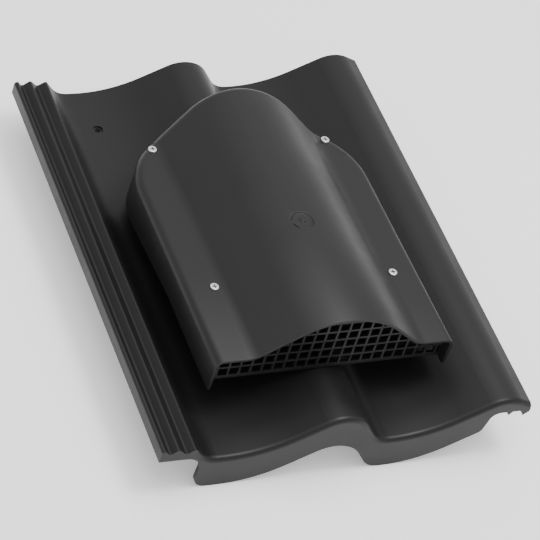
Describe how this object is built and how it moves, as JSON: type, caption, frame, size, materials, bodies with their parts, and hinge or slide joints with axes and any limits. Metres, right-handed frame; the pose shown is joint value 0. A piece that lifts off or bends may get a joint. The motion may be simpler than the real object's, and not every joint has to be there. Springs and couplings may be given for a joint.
{
  "type": "roof vent",
  "caption": "Low roof ventilation tile: an interlocking double-roll base tile, an arched shell hood with an open front and underside, and a square lattice grille in its mouth.",
  "frame": {"origin": "centre of the tile's footprint, on the plane that its front skirt and its batten nibs stand on", "axes": "+Y runs up the roof slope from the front skirt to the plain upper edge, +Z stands out of the roof, +X points from the ribbed interlock on the left to the overlapping nose on the right"},
  "size_m": [0.335, 0.42, 0.1329],
  "materials": {
    "tile": "satin moulded anthracite plastic",
    "hood": "satin moulded anthracite plastic",
    "grille": "satin moulded anthracite plastic",
    "screw": "bright zinc plated"
  },
  "bodies": {
    "root": {"base_tile": "tile", "hood": "hood", "grille": "grille", "screw_lower_left": "screw", "screw_lower_right": "screw", "screw_upper_left": "screw", "screw_upper_right": "screw"}
  },
  "joints": []
}
